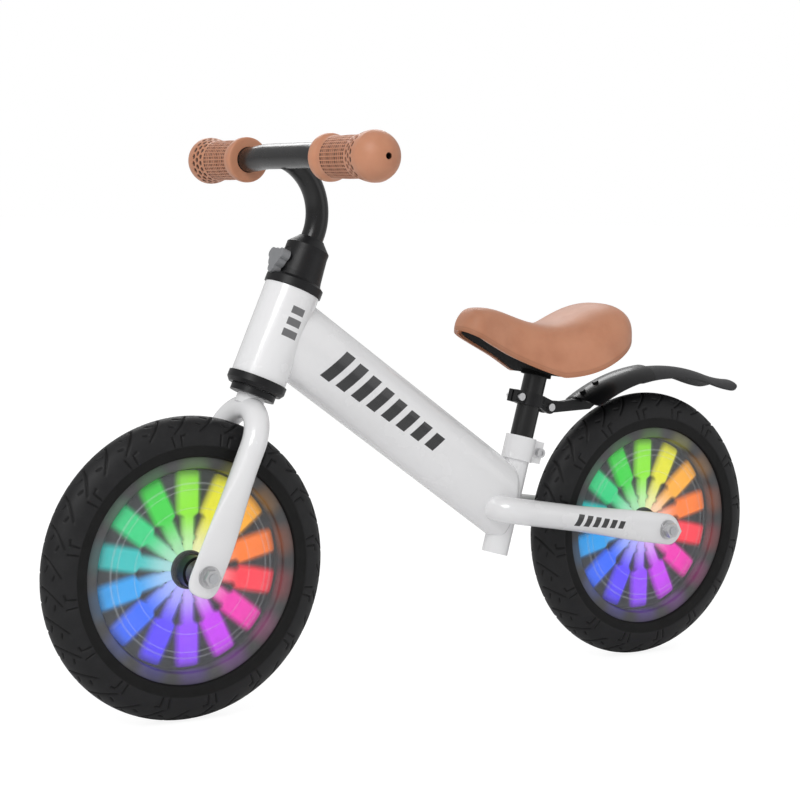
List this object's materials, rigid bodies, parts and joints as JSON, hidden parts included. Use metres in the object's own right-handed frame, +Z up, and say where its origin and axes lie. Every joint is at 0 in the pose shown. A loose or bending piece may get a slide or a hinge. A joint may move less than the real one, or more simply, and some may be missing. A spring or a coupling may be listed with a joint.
{
  "type": "balance bike",
  "caption": "Child's balance bike with light-up disc wheels, clamped height-adjustable handlebar and saddle, and a tilting rear mudguard.",
  "frame": {"origin": "on the ground in the middle plane, midway between the two axles", "axes": "-X is forward, +Z is up, Y runs across the bike along the axles"},
  "size_m": [0.875, 0.3736, 0.5743],
  "materials": {
    "frame_paint": "gloss white enamel",
    "headset_black": "satin black",
    "bright_steel": "zinc plated",
    "axle_steel": "zinc plated, threaded ends",
    "magnet": "dark ferrite",
    "tyre_rubber": "matt black with grooved tread",
    "rim_plastic": "satin grey moulding",
    "hub_plastic": "gloss black",
    "bearing_steel": "ground steel",
    "light_guide": "clear, lit from its inner end",
    "circuit_board": "green solder mask",
    "clear_cover": "clear polished",
    "collar_plastic": "fine texture black",
    "insert_brass": "turned",
    "knob_plastic": "dark grey",
    "bar_paint": "satin black",
    "grip_rubber": "soft tan with moulded slots",
    "pan_plastic": "black",
    "saddle_soft": "smooth tan skin",
    "guard_gloss": "gloss black",
    "guard_matt": "fine texture dark grey"
  },
  "bodies": {
    "frame": {"head_tube": "frame_paint", "down_tube": "frame_paint", "seat_tube": "frame_paint", "chain_stay_left": "frame_paint", "chain_stay_right": "frame_paint", "lower_headset_cup": "headset_black", "upper_headset_cup": "headset_black", "seat_clamp": "frame_paint", "seat_clamp_bolt": "bright_steel", "rear_axle": "axle_steel", "rear_axle_nuts": "axle_steel", "rear_axle_washers": "axle_steel", "rear_axle_spacers": "axle_steel", "rear_magnet_ring": "magnet"},
    "fork": {"fork_steerer": "frame_paint", "fork_blades": "frame_paint", "fork_crown_race": "headset_black", "lower_head_bearing": "bright_steel", "upper_head_bearing": "bright_steel", "front_axle": "axle_steel", "front_axle_nuts": "axle_steel", "front_axle_washers": "axle_steel", "front_axle_spacers": "axle_steel", "front_magnet_ring": "magnet", "stem_collar": "collar_plastic", "collar_insert_nut": "insert_brass"},
    "front_wheel": {"front_tyre": "tyre_rubber", "front_rim": "rim_plastic", "front_hub": "hub_plastic", "front_bearings": "bearing_steel", "front_light_guides": "light_guide", "front_led_boards": "circuit_board", "front_cover_left": "clear_cover", "front_cover_right": "clear_cover"},
    "rear_wheel": {"rear_tyre": "tyre_rubber", "rear_rim": "rim_plastic", "rear_hub": "hub_plastic", "rear_bearings": "bearing_steel", "rear_light_guides": "light_guide", "rear_led_boards": "circuit_board", "rear_cover_left": "clear_cover", "rear_cover_right": "clear_cover"},
    "knob": {"clamp_knob": "knob_plastic", "clamp_screw": "bright_steel", "knob_washer": "bright_steel"},
    "handlebar_body": {"handlebar": "bar_paint", "grip_left": "grip_rubber", "grip_right": "grip_rubber"},
    "saddle_body": {"seat_post": "bar_paint", "saddle_pan": "pan_plastic", "saddle_shell": "saddle_soft", "saddle_cross_bolt": "bright_steel", "guard_clamp": "guard_gloss", "guard_clamp_screw": "bright_steel", "guard_pivot_bolt": "bright_steel"},
    "mudguard": {"guard_arm": "guard_gloss", "guard_front_blade": "guard_gloss", "guard_blade_screws": "bright_steel"},
    "mudguard_tail": {"guard_rear_blade": "guard_matt"}
  },
  "joints": [
    {"name": "steering", "type": "hinge", "parent": "frame", "child": "fork", "pos_m": [-0.2875, 0, 0.15], "axis": [0.3939, 0, 0.9191], "range_deg": [-90, 90]},
    {"name": "front_wheel_spin", "type": "hinge", "parent": "fork", "child": "front_wheel", "pos_m": [-0.2875, 0, 0.15], "axis": [0, 1, 0], "continuous": true},
    {"name": "rear_wheel_spin", "type": "hinge", "parent": "frame", "child": "rear_wheel", "pos_m": [0.2875, 0, 0.15], "axis": [0, 1, 0], "continuous": true},
    {"name": "handlebar_height", "type": "slide", "parent": "fork", "child": "handlebar_body", "axis": [0.3939, 0, 0.9191], "range_m": [-0.002, 0.06]},
    {"name": "knob_turn", "type": "hinge", "parent": "fork", "child": "knob", "pos_m": [-0.16278, 0, 0.441], "axis": [-0.9191, 0, 0.3939], "range_deg": [0, 540]},
    {"name": "saddle_height", "type": "slide", "parent": "frame", "child": "saddle_body", "axis": [0.2538, 0, 0.9673], "range_m": [-0.004, 0.055]},
    {"name": "mudguard_tilt", "type": "hinge", "parent": "saddle_body", "child": "mudguard", "pos_m": [0.15049, 0, 0.29], "axis": [0, -1, 0], "range_deg": [-2, 20]},
    {"name": "mudguard_extension", "type": "hinge", "parent": "mudguard", "child": "mudguard_tail", "pos_m": [0.3055, 0, 0.123], "axis": [0, 1, 0], "range_deg": [-4, 6]}
  ]
}
